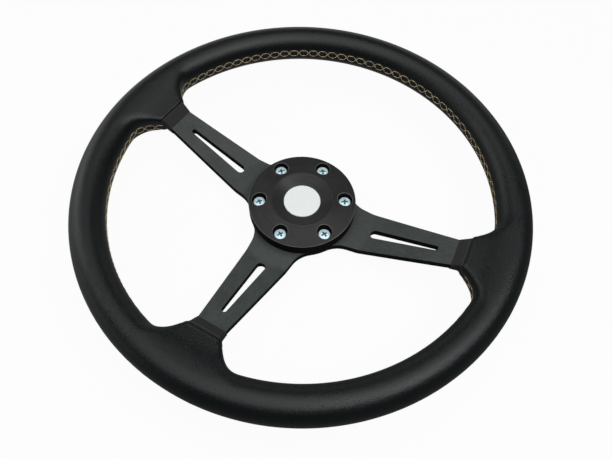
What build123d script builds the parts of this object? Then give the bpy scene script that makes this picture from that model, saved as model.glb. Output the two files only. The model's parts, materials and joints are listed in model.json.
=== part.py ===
"""Three-spoke leather steering wheel with a six-screw hub and a horn button.

The origin is the hub centre on the back face of the spoke plate. +Z points to the driver and +Y to the wheel's top.
"""

import os
from math import asin, degrees, radians, sin

from build123d import *

os.makedirs("parts", exist_ok=True)

# Rim
rim_outer_d = 360.0
rim_section_w = 28.0
rim_section_h = 30.0
rim_centre_z = 30.0
leather_t = 1.3
glue_gap = 0.1

# Spokes: one points straight down, two point to the sides a little above level
bottom_spoke_angle = 270.0
side_spoke_lift = 5.0
plate_t = 6.0
hub_plate_d = 86.0
hub_blend_r = 22.0
dish_start_r = 60.0
dish_end_gap = 6.3
dish_end_drop = 1.5
dish_bend_r = 12.0
spoke_root_r = 60.0
spoke_root_w = 35.6
spoke_tip_w = 23.0
slot_inner_r = 65.0
slot_end_gap = 14.5
slot_inner_w = 7.4
slot_outer_w = 4.0
centre_hole_d = 40.0

# Leather bosses round the spoke ends, and the moulded collars that come out of them
boss_reach = 17.5
boss_edge_w = 28.0
boss_edge_h = 16.0
boss_drop = 1.5
boss_neck_reach = 8.0
boss_neck_w = 44.0
boss_neck_h = 19.4
boss_root_depth = 9.0
boss_root_w = 92.0
boss_root_h = 26.0
boss_top_r = 3.2
boss_back_r = 6.0
collar_reach = 7.5
collar_t = 0.5
collar_corner_r = 0.9

# Rim core
core_w = 14.0
core_t = 6.0
rivet_d = 4.0
rivet_head_d = 7.0
rivet_head_t = 1.4
rivet_spacing = 12.0

# Seam thread
thread_d = 1.3
thread_gap = 0.1
seam_margin = 1.0

# Hub ring and its screws
bolt_circle_d = 70.0
screw_count = 6
screw_first_angle = 30.0
ring_d = 87.6
ring_edge_h = 10.5
ring_edge_r = 0.8
crest_d = 50.0
crest_rise = 2.5
button_recess = 1.5
screw_hole_d = 5.5
counterbore_d = 12.0
ring_floor_t = 4.3
screw_d = 5.0
screw_length = 20.0
screw_shank_d = 4.4
head_d = 10.2
head_h = 3.7
head_edge_r = 1.3
cross_l = 5.4
cross_w = 1.1
cross_depth = 2.0
seat_gap = 0.02

# Horn button
cap_d = 30.0
cap_t = 1.2
cap_edge_r = 0.4
button_gap = 0.4
lip_t = 2.4
travel = 1.5
plunger_flange_d = 34.0
plunger_flange_t = 2.0
lip_gap = 0.2
stem_d = 8.0
housing_gap = 0.3
housing_wall = 1.5
housing_base_t = 1.8
snap_t = 1.0
snap_w = 3.4
snap_groove = 1.0
snap_gap = 0.1
snap_opening = 50.0
snap_floor = 0.6
contact_t = 0.6
contact_d = 14.0
contact_margin = 0.25
contact_rivet_d = 2.5
contact_rivet_head_d = 4.4
contact_rivet_head_t = 0.5
ground_inner_d = 21.0
ground_outer_d = 31.0
spring_seat_d = 25.0
spring_strip_w = 3.0
spring_strip_t = 0.5
spring_finger_l = 10.5
spring_finger_count = 3
tab_w = 6.3
tab_t = 0.8
tab_drop = 6.0
tab_gap = 0.1

# Sizes that follow from the ones above
rim_r = (rim_outer_d - rim_section_w) / 2
rim_inner_r = rim_r - rim_section_w / 2
spoke_angles = (bottom_spoke_angle, side_spoke_lift, 180 - side_spoke_lift)
boss_edge_r = rim_inner_r - boss_reach
boss_edge_z = rim_centre_z - boss_drop
boss_neck_r = rim_inner_r - boss_neck_reach
boss_neck_z = (boss_edge_z + rim_centre_z) / 2
boss_root_r = rim_inner_r + boss_root_depth
collar_inner_r = boss_edge_r - collar_reach
slot_outer_r = collar_inner_r - slot_end_gap
dish_end_r = rim_inner_r - dish_end_gap
dish_end_z = rim_centre_z - dish_end_drop
dish_rise = dish_end_z / (dish_end_r - dish_start_r)
plate_end_r = rim_r + core_w / 2
spoke_taper = (spoke_root_w - spoke_tip_w) / (collar_inner_r - spoke_root_r)
plate_end_w = spoke_root_w - spoke_taper * (plate_end_r - spoke_root_r)
plate_hub_w = spoke_root_w + spoke_taper * spoke_root_r
hub_r = hub_plate_d / 2
ring_r = ring_d / 2
ring_edge_z = plate_t + ring_edge_h
crest_z = ring_edge_z + crest_rise
cap_top_z = ring_edge_z - button_recess
bore_r = cap_d / 2 + button_gap
lip_z = cap_top_z - lip_t
housing_bore_r = centre_hole_d / 2
housing_r = housing_bore_r - housing_gap
screw_seat_z = plate_t + ring_floor_t
plunger_top_z = lip_z - lip_gap
plunger_bottom_z = plunger_top_z - plunger_flange_t
base_bottom_z = snap_floor + snap_t + snap_gap
base_top_z = base_bottom_z + housing_base_t
fixed_top_z = base_top_z + contact_t
moving_bottom_z = fixed_top_z + travel + contact_margin + contact_rivet_head_t
moving_top_z = moving_bottom_z + contact_t
tab_bottom_z = base_bottom_z - tab_drop
ground_mid_r = (ground_inner_d + ground_outer_d) / 4


def cross_plane(radius, height):
    """A plane across the spoke that lies along +X."""
    return Plane(origin=(radius, 0, height), x_dir=(0, 1, 0), z_dir=(1, 0, 0))


def boss_section(width, height, inset):
    """A cross section of a boss, moved in by the inset: crisp on the driver's side, rounder at the back."""
    with BuildSketch() as section:
        Rectangle(width - 2 * inset, height - 2 * inset)
        fillet(section.vertices().group_by(Axis.Y)[-1], boss_top_r - inset)
        fillet(section.vertices().group_by(Axis.Y)[0], boss_back_r - inset)
    return section.sketch


def rim_body(inset, edge_r):
    """The oval rim with its three flared bosses, all faces moved in by the inset."""
    with BuildPart() as boss:
        with BuildSketch(cross_plane(edge_r, boss_edge_z)):
            add(boss_section(boss_edge_w, boss_edge_h, inset))
        with BuildSketch(cross_plane(boss_neck_r, boss_neck_z)):
            add(boss_section(boss_neck_w, boss_neck_h, inset))
        with BuildSketch(cross_plane(boss_root_r, rim_centre_z)):
            add(boss_section(boss_root_w, boss_root_h, inset))
        loft()
    with BuildPart() as body:
        with BuildSketch(Plane.YZ):
            with Locations((rim_r, rim_centre_z)):
                Ellipse(rim_section_w / 2 - inset, rim_section_h / 2 - inset)
        revolve(axis=Axis.Z)
        for angle in spoke_angles:
            add(boss.part, rotation=(0, 0, angle))
    return body.part


# Spoke plate: a dished disc cut to the outline of hub and spokes
with BuildSketch() as slot:
    with Locations((slot_inner_r, 0)):
        Circle(slot_inner_w / 2)
    with Locations((slot_outer_r, 0)):
        Circle(slot_outer_w / 2)
    make_hull()

with BuildSketch() as outline:
    Circle(hub_r)
    for angle in spoke_angles:
        Polygon(
            (0, -plate_hub_w / 2),
            (plate_end_r, -plate_end_w / 2),
            (plate_end_r, plate_end_w / 2),
            (0, plate_hub_w / 2),
            rotation=angle,
            align=None,
        )
    fillet(outline.vertices().group_by(SortBy.DISTANCE)[0], hub_blend_r)
    for angle in spoke_angles:
        add(slot.sketch, rotation=angle, mode=Mode.SUBTRACT)
    Circle(housing_bore_r, mode=Mode.SUBTRACT)
    with PolarLocations(bolt_circle_d / 2, screw_count, start_angle=screw_first_angle):
        Circle(screw_hole_d / 2, mode=Mode.SUBTRACT)

with BuildPart() as spoke_plate:
    with BuildSketch(Plane.XZ) as dish:
        with BuildLine():
            lower = [(0, 0), (dish_start_r, 0), (dish_end_r, dish_end_z), (plate_end_r, dish_end_z)]
            upper = [(x, z + plate_t) for x, z in reversed(lower)]
            Polyline(*lower, *upper, close=True)
        make_face()
        bends = dish.vertices().filter_by(lambda v: dish_start_r <= v.X <= dish_end_r)
        fillet(bends, dish_bend_r)
    revolve(axis=Axis.Z)
    extrude(outline.sketch, amount=rim_centre_z + plate_t, mode=Mode.INTERSECT)
    with BuildSketch(Plane.XY.offset(snap_floor)):
        Circle(housing_bore_r + snap_groove)
        Circle(housing_bore_r, mode=Mode.SUBTRACT)
    extrude(amount=snap_t + snap_gap, mode=Mode.SUBTRACT)
    for angle in spoke_angles:
        with Locations(Location((0, 0, 0), (0, 0, angle))):
            with Locations((rim_r, -rivet_spacing / 2), (rim_r, rivet_spacing / 2)):
                Cylinder(rivet_d / 2, 3 * rim_centre_z, mode=Mode.SUBTRACT)

# Rim core: a flat ring under the spoke ends
with BuildPart() as rim_core:
    with BuildSketch(Plane.XY.offset(dish_end_z - core_t)):
        Circle(rim_r + core_w / 2)
        Circle(rim_r - core_w / 2, mode=Mode.SUBTRACT)
    extrude(amount=core_t)
    for angle in spoke_angles:
        with Locations(Location((0, 0, 0), (0, 0, angle))):
            with Locations((rim_r, -rivet_spacing / 2), (rim_r, rivet_spacing / 2)):
                Cylinder(rivet_d / 2, 3 * rim_centre_z, mode=Mode.SUBTRACT)

with BuildPart() as core_rivet:
    with BuildSketch(Plane.XY.offset(dish_end_z - core_t - rivet_head_t)):
        Circle(rivet_head_d / 2)
    extrude(amount=rivet_head_t)
    with BuildSketch(Plane.XY.offset(dish_end_z - core_t)):
        Circle(rivet_d / 2)
    extrude(amount=core_t + plate_t)
    with BuildSketch(Plane.XY.offset(dish_end_z + plate_t)):
        Circle(rivet_head_d / 2)
    extrude(amount=rivet_head_t)

with BuildPart() as core_rivets:
    for angle in spoke_angles:
        with Locations(Location((0, 0, 0), (0, 0, angle))):
            with Locations((rim_r, -rivet_spacing / 2), (rim_r, rivet_spacing / 2)):
                add(core_rivet.part)

# Moulded padding with a collar round each spoke
collar_inset = leather_t + glue_gap
padding_edge_r = boss_edge_r - leather_t
collar_mid_z = (collar_inner_r - dish_start_r) * dish_rise + plate_t / 2
with BuildPart() as collar:
    with BuildSketch(cross_plane(collar_inner_r, collar_mid_z)):
        RectangleRounded(spoke_tip_w + 2 * collar_t, plate_t + 2 * collar_t, collar_corner_r)
    with BuildSketch(cross_plane(padding_edge_r, boss_edge_z)):
        add(boss_section(boss_edge_w, boss_edge_h, collar_inset))
    loft()

with BuildPart() as rim_padding:
    add(rim_body(collar_inset, padding_edge_r))
    for angle in spoke_angles:
        add(collar.part, rotation=(0, 0, angle))
    add(spoke_plate.part, mode=Mode.SUBTRACT)
    add(rim_core.part, mode=Mode.SUBTRACT)
    add(core_rivets.part, mode=Mode.SUBTRACT)

# Leather: the outside shape less a smaller copy that runs out past its three open ends
with BuildPart() as leather_cover:
    add(rim_body(0, boss_edge_r))
    add(rim_body(leather_t, padding_edge_r), mode=Mode.SUBTRACT)

# Seam thread: an arc on the inside of the rim between each pair of bosses
flare_share = boss_neck_reach / (boss_neck_reach + boss_root_depth)
flare_w = boss_neck_w + (boss_root_w - boss_neck_w) * flare_share
seam_clear = degrees(asin(flare_w / 2 / rim_inner_r)) + seam_margin


def seam_arc(start, stop):
    """A thread round the inner side of the rim, clear of the bosses at both ends."""
    with BuildPart() as arc:
        with BuildSketch(Plane.XZ):
            with Locations((rim_inner_r - thread_d / 2 - thread_gap, rim_centre_z)):
                Circle(thread_d / 2)
        revolve(axis=Axis.Z, revolution_arc=stop - start - 2 * seam_clear)
    with BuildPart() as placed:
        add(arc.part, rotation=(0, 0, start + seam_clear))
    return placed.part


with BuildPart() as seam_thread_top:
    add(seam_arc(side_spoke_lift, 180 - side_spoke_lift))

with BuildPart() as seam_thread_left:
    add(seam_arc(180 - side_spoke_lift, bottom_spoke_angle))

with BuildPart() as seam_thread_right:
    add(seam_arc(bottom_spoke_angle, 360 + side_spoke_lift))

# Hub ring
with BuildPart() as retaining_ring:
    with BuildSketch(Plane.XZ) as ring_section:
        with BuildLine():
            Polyline(
                (housing_bore_r, plate_t),
                (ring_r, plate_t),
                (ring_r, ring_edge_z),
                (crest_d / 2, crest_z),
                (bore_r, cap_top_z),
                (bore_r, lip_z),
                (housing_bore_r, lip_z),
                close=True,
            )
        make_face()
        fillet(ring_section.vertices().filter_by(lambda v: v.X > crest_d and v.Y > plate_t), ring_edge_r)
    revolve(axis=Axis.Z)
    with PolarLocations(bolt_circle_d / 2, screw_count, start_angle=screw_first_angle):
        Cylinder(screw_hole_d / 2, 3 * crest_z, mode=Mode.SUBTRACT)
    with BuildSketch(Plane.XY.offset(screw_seat_z)):
        with PolarLocations(bolt_circle_d / 2, screw_count, start_angle=screw_first_angle):
            Circle(counterbore_d / 2)
    extrude(amount=crest_z, mode=Mode.SUBTRACT)

# Hub screws: pan heads with a cross recess
with BuildPart() as screw:
    with BuildSketch(Plane.XY.offset(screw_seat_z + seat_gap)):
        Circle(head_d / 2)
    extrude(amount=head_h)
    fillet(screw.faces().sort_by(Axis.Z)[-1].edges(), head_edge_r)
    with BuildSketch(Plane.XY.offset(screw_seat_z + seat_gap)):
        Circle(screw_shank_d / 2)
    extrude(amount=-screw_seat_z - seat_gap)
    with BuildSketch():
        Circle(screw_d / 2)
    extrude(amount=screw_seat_z + seat_gap - screw_length)
    with BuildSketch(Plane.XY.offset(screw_seat_z + seat_gap + head_h)):
        Rectangle(cross_l, cross_w)
        Rectangle(cross_w, cross_l)
    extrude(amount=-cross_depth, mode=Mode.SUBTRACT)

with BuildPart() as hub_screws:
    with PolarLocations(bolt_circle_d / 2, screw_count, start_angle=screw_first_angle):
        add(screw.part)

# Horn button: a pale cap glued on a flanged plunger
with BuildPart() as horn_button_cap:
    with BuildSketch(Plane.XY.offset(cap_top_z - cap_t)):
        Circle(cap_d / 2)
    extrude(amount=cap_t)
    fillet(horn_button_cap.faces().sort_by(Axis.Z)[-1].edges(), cap_edge_r)

with BuildPart() as horn_plunger:
    with BuildSketch(Plane.XY.offset(plunger_bottom_z)):
        Circle(plunger_flange_d / 2)
    extrude(amount=plunger_flange_t)
    with BuildSketch(Plane.XY.offset(plunger_top_z)):
        Circle(cap_d / 2)
    extrude(amount=cap_top_z - cap_t - plunger_top_z)
    with BuildSketch(Plane.XY.offset(moving_top_z)):
        Circle(stem_d / 2)
    extrude(amount=plunger_bottom_z - moving_top_z)
    with BuildSketch(Plane.XY.offset(moving_top_z)):
        Circle(contact_rivet_d / 2)
    extrude(amount=contact_d / 4, mode=Mode.SUBTRACT)

with BuildPart() as horn_moving_contact:
    with BuildSketch(Plane.XY.offset(moving_bottom_z)):
        Circle(contact_d / 2)
        Circle(contact_rivet_d / 2, mode=Mode.SUBTRACT)
    extrude(amount=contact_t)

with BuildPart() as horn_contact_rivet:
    with BuildSketch(Plane.XY.offset(moving_bottom_z - contact_rivet_head_t)):
        Circle(contact_rivet_head_d / 2)
    extrude(amount=contact_rivet_head_t)
    with BuildSketch(Plane.XY.offset(moving_bottom_z)):
        Circle(contact_rivet_d / 2)
    extrude(amount=contact_t + contact_d / 4)

# Horn switch housing, its contacts and its snap ring
with BuildPart() as horn_housing:
    with BuildSketch(Plane.XY.offset(base_bottom_z)):
        Circle(housing_r)
    extrude(amount=lip_z - lip_gap - base_bottom_z)
    with BuildSketch(Plane.XY.offset(base_top_z)):
        Circle(housing_r - housing_wall)
    extrude(amount=crest_z, mode=Mode.SUBTRACT)
    with BuildSketch(Plane.XY.offset(base_bottom_z)):
        Rectangle(tab_w + 2 * tab_gap, tab_t + 2 * tab_gap)
        with Locations((0, ground_mid_r)):
            Rectangle(tab_w + 2 * tab_gap, tab_t + 2 * tab_gap)
    extrude(amount=housing_base_t, mode=Mode.SUBTRACT)

with BuildPart() as horn_fixed_contact:
    with BuildSketch(Plane.XY.offset(base_top_z)):
        Circle(contact_d / 2)
    extrude(amount=contact_t)

with BuildPart() as horn_live_terminal:
    with BuildSketch(Plane.XY.offset(tab_bottom_z)):
        Rectangle(tab_w, tab_t)
    extrude(amount=base_top_z - tab_bottom_z)

with BuildPart() as horn_ground_ring:
    with BuildSketch(Plane.XY.offset(base_top_z)):
        Circle(ground_outer_d / 2)
        Circle(ground_inner_d / 2, mode=Mode.SUBTRACT)
    extrude(amount=contact_t)
    with BuildSketch(Plane.XY.offset(tab_bottom_z)):
        with Locations((0, ground_mid_r)):
            Rectangle(tab_w, tab_t)
    extrude(amount=base_top_z - tab_bottom_z)

# Horn spring: a flat ring with bent fingers that stand up to the plunger
spring_rise = plunger_bottom_z - fixed_top_z - spring_strip_t
with BuildPart() as finger:
    with BuildSketch(Plane.YZ):
        with BuildLine():
            foot = [(0, fixed_top_z), (spring_strip_w, fixed_top_z)]
            bend = [(spring_finger_l - spring_strip_w, fixed_top_z + spring_rise)]
            tip = [(spring_finger_l, fixed_top_z + spring_rise)]
            lower = foot + bend + tip
            upper = [(y, z + spring_strip_t) for y, z in reversed(lower)]
            Polyline(*lower, *upper, close=True)
        make_face()
    extrude(amount=spring_strip_w / 2, both=True)

with BuildPart() as horn_spring:
    with BuildSketch(Plane.XY.offset(fixed_top_z)):
        Circle(spring_seat_d / 2 + spring_strip_w / 2)
        Circle(spring_seat_d / 2 - spring_strip_w / 2, mode=Mode.SUBTRACT)
    extrude(amount=spring_strip_t)
    with PolarLocations(spring_seat_d / 2, spring_finger_count):
        add(finger.part)

with BuildPart() as horn_snap_ring:
    with BuildSketch(Plane.XY.offset(snap_floor + snap_gap / 2)):
        Circle(housing_bore_r + snap_groove - snap_gap)
        Circle(housing_bore_r + snap_groove - snap_gap - snap_w, mode=Mode.SUBTRACT)
        with Locations((0, -housing_bore_r)):
            Rectangle(2 * housing_bore_r * sin(radians(snap_opening / 2)), 4 * snap_w, mode=Mode.SUBTRACT)
    extrude(amount=snap_t)

spoke_plate.part.label = "spoke_plate"
rim_core.part.label = "rim_core"
core_rivets.part.label = "core_rivets"
rim_padding.part.label = "rim_padding"
leather_cover.part.label = "leather_cover"
seam_thread_top.part.label = "seam_thread_top"
seam_thread_left.part.label = "seam_thread_left"
seam_thread_right.part.label = "seam_thread_right"
retaining_ring.part.label = "retaining_ring"
hub_screws.part.label = "hub_screws"
horn_button_cap.part.label = "horn_button_cap"
horn_plunger.part.label = "horn_plunger"
horn_moving_contact.part.label = "horn_moving_contact"
horn_contact_rivet.part.label = "horn_contact_rivet"
horn_housing.part.label = "horn_housing"
horn_fixed_contact.part.label = "horn_fixed_contact"
horn_live_terminal.part.label = "horn_live_terminal"
horn_ground_ring.part.label = "horn_ground_ring"
horn_spring.part.label = "horn_spring"
horn_snap_ring.part.label = "horn_snap_ring"

export_step(spoke_plate.part, "parts/spoke_plate.step")
export_step(rim_core.part, "parts/rim_core.step")
export_step(core_rivets.part, "parts/core_rivets.step")
export_step(rim_padding.part, "parts/rim_padding.step")
export_step(leather_cover.part, "parts/leather_cover.step")
export_step(seam_thread_top.part, "parts/seam_thread_top.step")
export_step(seam_thread_left.part, "parts/seam_thread_left.step")
export_step(seam_thread_right.part, "parts/seam_thread_right.step")
export_step(retaining_ring.part, "parts/retaining_ring.step")
export_step(hub_screws.part, "parts/hub_screws.step")
export_step(horn_button_cap.part, "parts/horn_button_cap.step")
export_step(horn_plunger.part, "parts/horn_plunger.step")
export_step(horn_moving_contact.part, "parts/horn_moving_contact.step")
export_step(horn_contact_rivet.part, "parts/horn_contact_rivet.step")
export_step(horn_housing.part, "parts/horn_housing.step")
export_step(horn_fixed_contact.part, "parts/horn_fixed_contact.step")
export_step(horn_live_terminal.part, "parts/horn_live_terminal.step")
export_step(horn_ground_ring.part, "parts/horn_ground_ring.step")
export_step(horn_spring.part, "parts/horn_spring.step")
export_step(horn_snap_ring.part, "parts/horn_snap_ring.step")
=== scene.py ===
import json
import math

import bmesh
import bpy
import numpy as np
from bpy.props import FloatProperty, FloatVectorProperty, IntProperty, PointerProperty
from mathutils import Matrix, Vector
from mathutils.bvhtree import BVHTree
from mathutils.kdtree import KDTree


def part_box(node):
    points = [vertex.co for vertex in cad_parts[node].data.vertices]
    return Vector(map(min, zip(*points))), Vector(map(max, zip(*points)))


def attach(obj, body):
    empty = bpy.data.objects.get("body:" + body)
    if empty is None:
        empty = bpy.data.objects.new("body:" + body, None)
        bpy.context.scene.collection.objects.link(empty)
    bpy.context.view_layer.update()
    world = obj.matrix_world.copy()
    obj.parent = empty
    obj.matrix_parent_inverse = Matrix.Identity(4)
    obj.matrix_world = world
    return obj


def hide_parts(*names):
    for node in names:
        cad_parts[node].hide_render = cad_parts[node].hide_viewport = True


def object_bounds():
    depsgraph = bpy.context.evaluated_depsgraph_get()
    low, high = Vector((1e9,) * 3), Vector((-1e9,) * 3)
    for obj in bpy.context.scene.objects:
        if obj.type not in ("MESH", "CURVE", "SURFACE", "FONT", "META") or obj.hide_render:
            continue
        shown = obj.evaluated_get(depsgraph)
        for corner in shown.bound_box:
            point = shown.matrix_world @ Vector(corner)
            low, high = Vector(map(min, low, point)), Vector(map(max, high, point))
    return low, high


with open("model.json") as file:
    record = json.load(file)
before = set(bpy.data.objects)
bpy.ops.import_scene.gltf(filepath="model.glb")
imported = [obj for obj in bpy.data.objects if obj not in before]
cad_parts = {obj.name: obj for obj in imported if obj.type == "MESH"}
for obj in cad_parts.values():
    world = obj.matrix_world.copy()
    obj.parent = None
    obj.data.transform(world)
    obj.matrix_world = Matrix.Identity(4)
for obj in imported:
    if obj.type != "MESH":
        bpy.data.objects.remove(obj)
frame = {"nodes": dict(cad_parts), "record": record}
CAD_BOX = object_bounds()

bl_info = {
    "name": "Three-spoke steering wheel",
    "version": (1, 0, 0),
    "blender": (4, 5, 0),
    "location": "View3D > Sidebar > Wheel",
    "description": "Dresses the packed steering wheel with leather, stitches, metal finishes and a stage",
    "category": "Object",
}

MM = 0.001

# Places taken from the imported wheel
SPOKE_ANGLES = (270.0, 5.0, 175.0)
# Each seam thread: the angles of the spokes it joins, and its share of the seam's climb
WINDOWS = {
    "seam_thread_right": (270.0, 365.0, 0.0),
    "seam_thread_top": (5.0, 175.0, 1.0),
    "seam_thread_left": (175.0, 270.0, 0.0),
}
RIM_LOW, RIM_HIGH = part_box("leather_cover")
RIM_MID_Z = (RIM_HIGH[2] + RIM_LOW[2]) / 2
RING_LOW, RING_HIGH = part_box("retaining_ring")
SCREW_LOW, SCREW_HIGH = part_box("hub_screws")
SCREW_COUNT = 6
SCREW_PLACES = [math.radians(30.0) + 2 * math.pi * k / SCREW_COUNT for k in range(SCREW_COUNT)]

# Fineness of the meshes
RIM_TURNS, RIM_SIDES = 288, 56
BOSS_LOOPS, BOSS_SIDES = 15, 64
RING_TURNS, CORNER_POINTS = 192, 7
SCREW_SIDES, THREAD_STEPS = 40, 8
STITCH_POINTS, STITCH_SIDES = 9, 8
FLOOR_TURNS, COVE_STEPS = 96, 9
SHARP_ANGLE = math.radians(35)

# Leather
HEM_FADE = 0.3  # share of the hem's width over which it rises
LEAST_HOLLOW = 0.04  # share of the hollow's softness that is left at the boss root
SETTLE_ROUNDS, SETTLE_STEP, LEAST_SLOPE = 6, 0.05 * MM, 0.1
EASE_SHARE = 0.5  # how far a point goes to the middle of its neighbours in one round
SEAM_REACH = 6 * MM  # how far outside the rim's inner side the seam's valley is looked for

# Seam
SEAM_STEP = 0.5 * MM  # distance between the points of a seam's route
BOSS_STEPS, ARC_STEPS, ROUTE_ROUNDS = 40, 400, 120
ROW_LIFT, UNDER_LIFT, OVER_LIFT = 0.06 * MM, 0.08 * MM, 0.42 * MM
STITCH_SINK = 0.35 * MM

# Hub
WELL_EDGE = np.radians((0, 20, 40, 60, 80))
CUT_CLEAR, WELL_CLEAR = 1 * MM, 2 * MM  # how far the cutters stand out of the ring and the heads
SCREW_TWIST = math.radians(37.0)  # each screw's cross stands at its own angle
HEAD_CHAMFER = 0.2 * MM
CROSS_FOOT, CROSS_MOUTH = 0.45, 1.1  # share of the cross recess's length at its floor and above the head
SHADE_END, SHADE_START = 1.2 * MM, 0.65 * MM  # depths under the crown between which the painted shade deepens

# Stage
SENSOR_W = 36.0
LAMP_AIM = (0, 0, 0.03)
FLOOR_GAP = 0.2 * MM
FLOOR_WHITE = 0.95  # share of plain white in the floor that the camera and reflections see


def setting(prop, **kind):
    """A maker of one kind of setting that a user may change."""
    return lambda name, text, default: prop(name=name, description=text, default=default, **kind)


size = setting(FloatProperty, min=0.0, precision=5, subtype="DISTANCE", unit="LENGTH")
angle = setting(FloatProperty, subtype="ANGLE", unit="ROTATION")
share = setting(FloatProperty, min=0.0, max=1.0, subtype="FACTOR")
power = setting(FloatProperty, min=0.0, unit="POWER")
focal_length = setting(FloatProperty, min=1.0, unit="CAMERA")
rounds = setting(IntProperty, min=0)
colour = setting(FloatVectorProperty, size=3, min=0.0, max=1.0, subtype="COLOR")
place = setting(FloatVectorProperty, size=3, subtype="XYZ", unit="LENGTH")
extent = setting(FloatVectorProperty, size=2, min=0.0, subtype="XYZ", unit="LENGTH")


class RimSizes(bpy.types.PropertyGroup):
    """Sizes of the leather rim and its bosses."""

    outer_r: size("Outer radius", "Radius to the outside of the leather", RIM_HIGH[0])
    section_w: size("Section width", "Width of the oval section", 28.0 * MM)
    section_h: size("Section height", "Height of the oval section", RIM_HIGH[2] - RIM_LOW[2])
    centre_z: size("Centre height", "Height of the rim's centre line", RIM_MID_Z)
    edge_r: size("Boss edge", "Radius at which the leather ends on a spoke", 134.5 * MM)
    edge_w: size("Boss edge width", "Width of the boss where the leather ends", 28.0 * MM)
    edge_h: size("Boss edge height", "Height of the boss where the leather ends", 16.0 * MM)
    edge_z: size("Boss edge level", "Height of the middle of the boss edge", RIM_MID_Z - 1.5 * MM)
    neck_r: size("Boss neck", "Radius of the narrow middle of the boss", 144.0 * MM)
    neck_w: size("Boss neck width", "Width of the boss at its neck", 44.0 * MM)
    neck_h: size("Boss neck height", "Height of the boss at its neck", 19.4 * MM)
    root_r: size("Boss root", "Radius at which the boss is lost in the rim", 161.0 * MM)
    root_w: size("Boss root width", "Width of the boss at its root", 92.0 * MM)
    root_h: size("Boss root height", "Height of the boss at its root", 28.2 * MM)
    top_r: size("Boss ridge", "Corner radius on the driver's side where the leather ends", 3.2 * MM)
    top_root_r: size("Boss ridge at the rim", "Corner radius on the driver's side at the boss root", 5.0 * MM)
    back_r: size("Boss back corner", "Corner radius of the boss at the back", 6.0 * MM)
    hollow: size("Hollow", "Softness of the hollow between rim and boss", 7.0 * MM)
    edge_round: size("Edge rounding", "Softness of the cut edge of the leather", 1.6 * MM)
    hem: size("Hem", "Rise of the turned-in edge of the leather", 0.25 * MM)
    hem_w: size("Hem width", "Width of the turned-in edge of the leather", 3.0 * MM)
    ease_start: size("Easing start", "Distance from the cut edge at which the evening out starts", 6.0 * MM)
    ease_rounds: rounds("Easing rounds", "How often the leather is evened out", 24)
    cell: size("Mesh cell", "Cell of the mesh that joins rim and bosses", 1.25 * MM)


class SeamSizes(bpy.types.PropertyGroup):
    """Sizes of the cross-stitched seam."""

    pitch: size("Pitch", "Length of one stitch cell along the seam", 8.8 * MM)
    rows: size("Row distance", "Distance between the two rows of holes", 6.1 * MM)
    thread_r: size("Thread radius", "Radius of the thread", 0.25 * MM)
    drop: size("Seam drop", "How far the seam lies below the middle of the rim", 2.6 * MM)
    climb: size("Seam climb", "How far the seam climbs at the top of the wheel", 2.7 * MM)
    groove: size("Seam depth", "Depth of the valley along the seam", 1.1 * MM)
    groove_w: size("Seam width", "Half width of the valley", 4.6 * MM)


class RingSizes(bpy.types.PropertyGroup):
    """Sizes of the turned hub ring."""

    outer_r: size("Outer radius", "Radius to the outer wall", RING_HIGH[0])
    foot_z: size("Foot", "Height of the face on the spoke plate", RING_LOW[2])
    edge_z: size("Edge height", "Height of the top at the outer wall", RING_HIGH[2] - 2.5 * MM)
    edge_round: size("Edge rounding", "Rounding of the outer top edge", 0.8 * MM)
    crest_r: size("Crest radius", "Radius of the crest", 25.0 * MM)
    crest_z: size("Crest height", "Height of the crest", RING_HIGH[2])
    crest_round: size("Crest rounding", "Rounding of the crest", 1.2 * MM)
    bore_r: size("Bore", "Radius of the hole round the button", 15.4 * MM)
    bore_z: size("Bore height", "Height of the upper edge of the hole", RING_HIGH[2] - 4.0 * MM)
    bore_round: size("Bore rounding", "Rounding of the upper edge of the hole", 0.3 * MM)
    lip_z: size("Lip height", "Height of the underside of the lip round the button", RING_HIGH[2] - 6.4 * MM)
    inner_r: size("Inner radius", "Radius of the chamber under the lip", 20.0 * MM)
    well_r: size("Well radius", "Radius of the well round a screw head", 6.0 * MM)
    well_z: size("Well floor", "Height of the floor of a well", RING_LOW[2] + 4.3 * MM)
    well_round: size("Well rounding", "Rounding of the upper edge of a well", 0.7 * MM)
    hole_r: size("Screw hole", "Radius of a screw hole", 2.75 * MM)


class ScrewSizes(bpy.types.PropertyGroup):
    """Sizes of the hub screws."""

    circle_r: size("Screw circle", "Radius of the circle of screws", 35.0 * MM)
    head_r: size("Head radius", "Radius of the pan head", 5.1 * MM)
    head_h: size("Head height", "Height of the pan head", 3.7 * MM)
    crown: size("Crown", "Rise of the head's top to its middle", 0.5 * MM)
    round_r: size("Head rounding", "Rounding of the head's edge", 1.3 * MM)
    shank_r: size("Shank radius", "Radius inside the ring and the plate", 2.2 * MM)
    thread_r: size("Thread radius", "Outer radius of the thread", 2.5 * MM)
    thread_depth: size("Thread depth", "Depth of the thread", 0.43 * MM)
    pitch: size("Thread pitch", "Distance from thread to thread", 0.8 * MM)
    cross_l: size("Cross length", "Length of the cross recess", 6.7 * MM)
    cross_w: size("Cross width", "Width of the cross recess", 1.7 * MM)
    cross_depth: size("Cross depth", "Depth of the cross recess", 2.2 * MM)


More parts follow.
